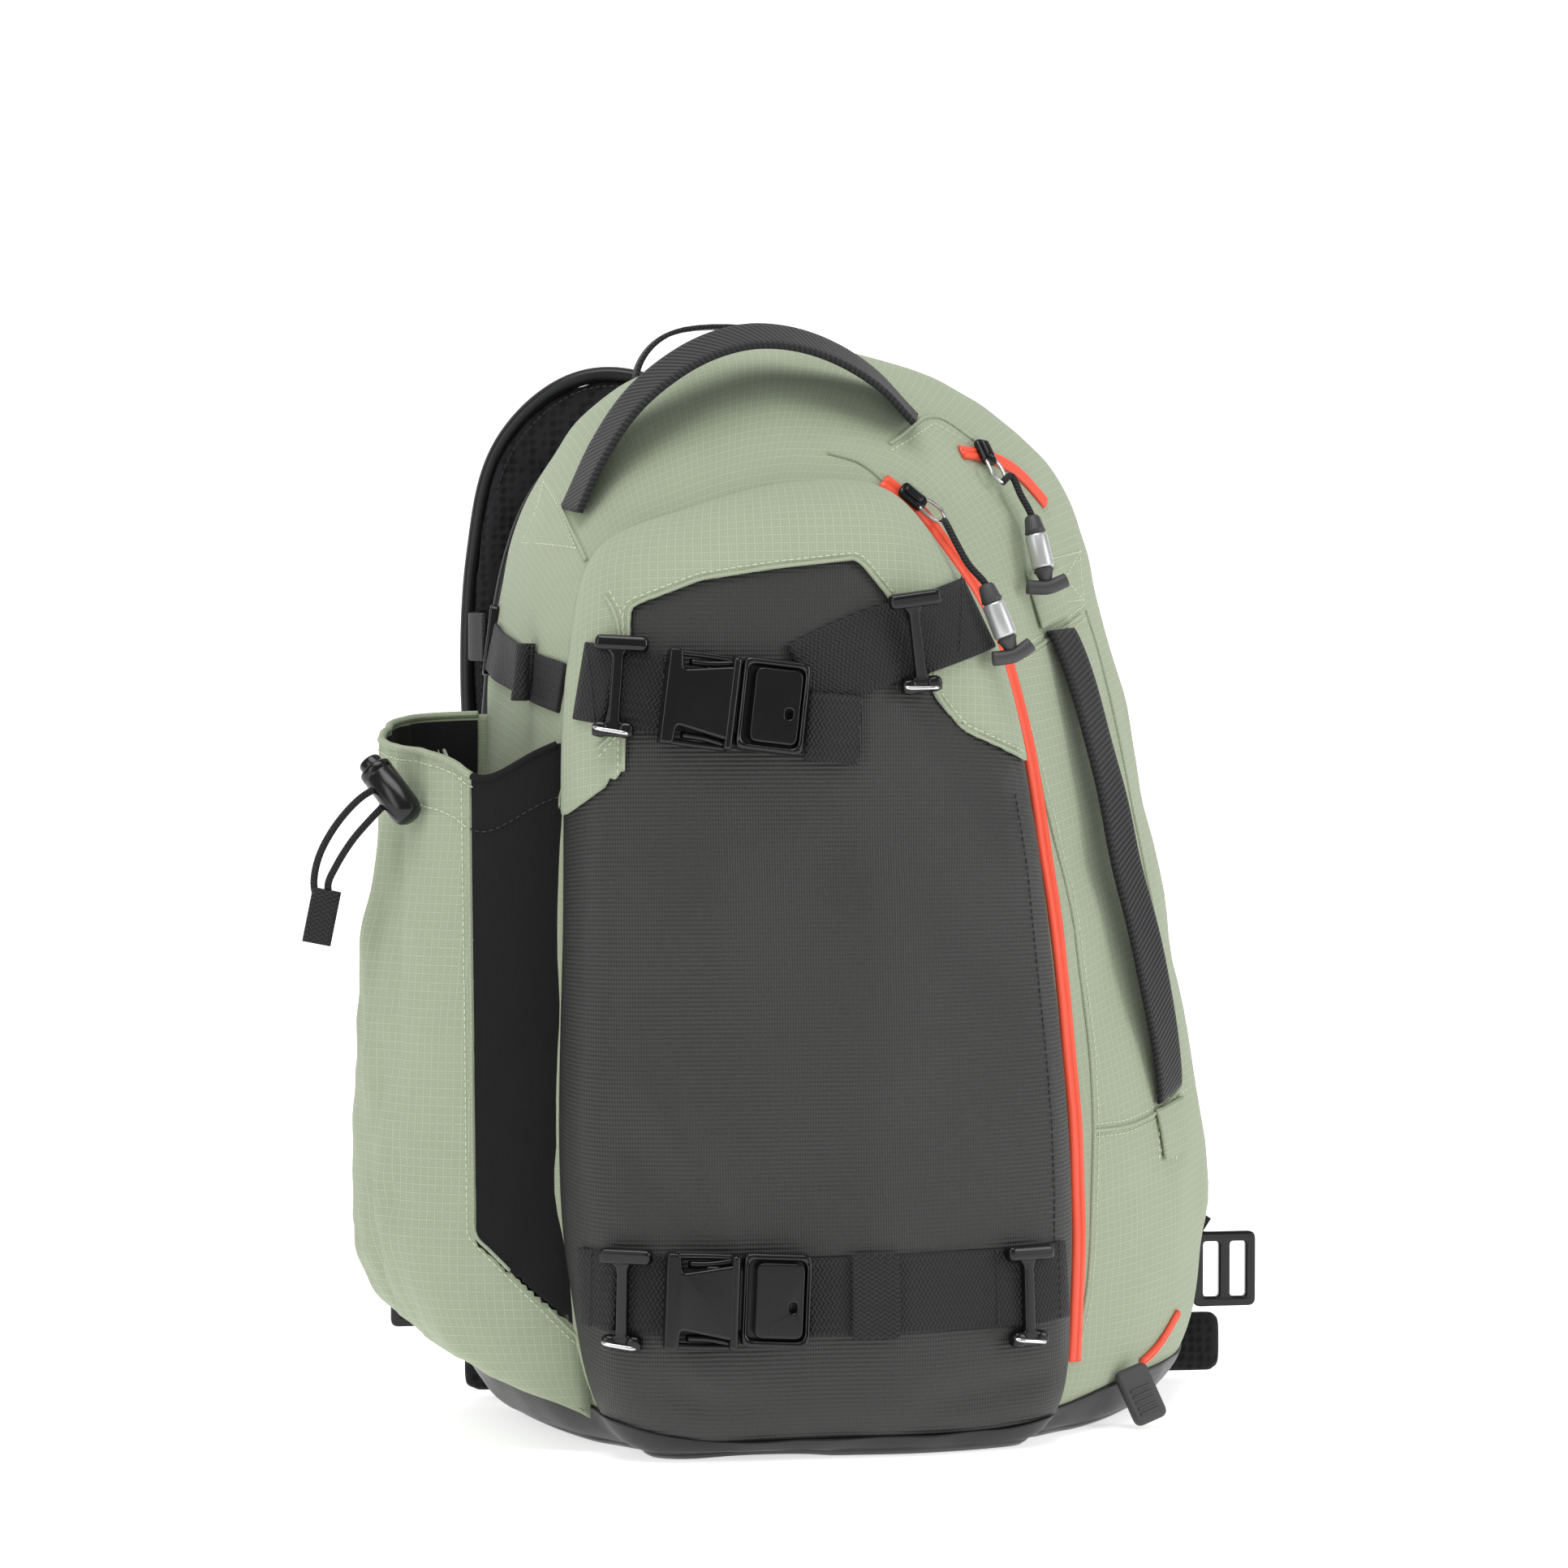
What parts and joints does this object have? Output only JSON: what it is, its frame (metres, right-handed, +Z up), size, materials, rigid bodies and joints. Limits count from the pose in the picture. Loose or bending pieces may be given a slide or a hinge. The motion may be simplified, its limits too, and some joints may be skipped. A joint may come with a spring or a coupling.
{
  "type": "camera backpack",
  "caption": "standing camera backpack with a tarpaulin front pocket, two buckled front straps, a stretch bottle pocket, side and top handles, zip pulls and padded shoulder straps",
  "frame": {"origin": "middle of the flat underside of the base boot, on the floor", "axes": "+X to the right of the bag seen from its front, +Y towards its back panel and shoulder straps, +Z up"},
  "size_m": [0.4398, 0.2541, 0.4717],
  "materials": {
    "ripstop": "matt sage green ripstop nylon",
    "tarp": "coated charcoal tarpaulin, satin",
    "boot": "coated black base cloth, slightly glossy",
    "stretch_knit": "matt black stretch knit",
    "spacer_mesh": "black spacer mesh over foam",
    "ribbed_webbing": "ribbed black webbing",
    "webbing": "flat black webbing",
    "black_plastic": "moulded black acetal, semi gloss",
    "zip_tape": "coated orange zip, satin",
    "slider_steel": "bright steel",
    "silver_sleeve": "satin silver sleeve",
    "cord": "black braided cord",
    "rubber_grip": "dark grey moulded rubber"
  },
  "bodies": {
    "bag": {"main_body": "ripstop", "front_pocket": "tarp", "front_yoke": "ripstop", "back_panel": "spacer_mesh", "base_boot": "boot", "bottle_pocket_outer": "ripstop", "bottle_pocket_gusset": "stretch_knit", "upper_strap_anchor": "webbing", "upper_strap_left": "webbing", "upper_strap_right": "webbing", "upper_strap_far_anchor": "webbing", "upper_strap_tail": "webbing", "upper_strap_hook": "black_plastic", "upper_strap_far_hook": "black_plastic", "upper_strap_buckle_socket": "black_plastic", "upper_strap_buckle_tongue": "black_plastic", "lower_strap_anchor": "webbing", "lower_strap_left": "webbing", "lower_strap_right": "webbing", "lower_strap_far_anchor": "webbing", "lower_strap_hook": "black_plastic", "lower_strap_far_hook": "black_plastic", "lower_strap_buckle_socket": "black_plastic", "lower_strap_buckle_tongue": "black_plastic", "top_handle": "ribbed_webbing", "side_handle": "ribbed_webbing", "side_flap_top": "ripstop", "side_flap_bottom": "ripstop", "zip_front": "zip_tape", "zip_top": "zip_tape", "zip_pouch": "zip_tape", "zip_slider_front": "slider_steel", "zip_cord_front": "cord", "zip_grip_front": "rubber_grip", "zip_sleeve_front": "silver_sleeve", "zip_slider_top": "slider_steel", "zip_cord_top": "cord", "zip_grip_top": "rubber_grip", "zip_sleeve_top": "silver_sleeve", "cord_lock_barrel": "black_plastic", "drawcord_1": "cord", "drawcord_2": "cord", "drawcord_tab": "webbing", "shoulder_strap_right": "spacer_mesh", "hip_wing_right": "spacer_mesh", "lower_webbing_right": "webbing", "strap_slider_right": "black_plastic", "hip_webbing_right": "webbing", "shoulder_strap_left": "spacer_mesh", "hip_wing_left": "spacer_mesh", "lower_webbing_left": "webbing", "strap_slider_left": "black_plastic", "hip_webbing_left": "webbing", "haul_loop": "webbing", "load_webbing": "webbing", "rolled_keeper": "webbing", "load_buckle": "black_plastic", "load_loop": "webbing", "rubber_tongue": "rubber_grip"},
    "lock_button": {"cord_lock_button": "black_plastic"}
  },
  "joints": [
    {"name": "cord_lock_press", "type": "slide", "parent": "bag", "child": "lock_button", "axis": [0.5215, -0.4212, -0.7421], "range_m": [0, 0.004], "stiffness_N_per_m": 500, "springref_m": -0.003}
  ]
}
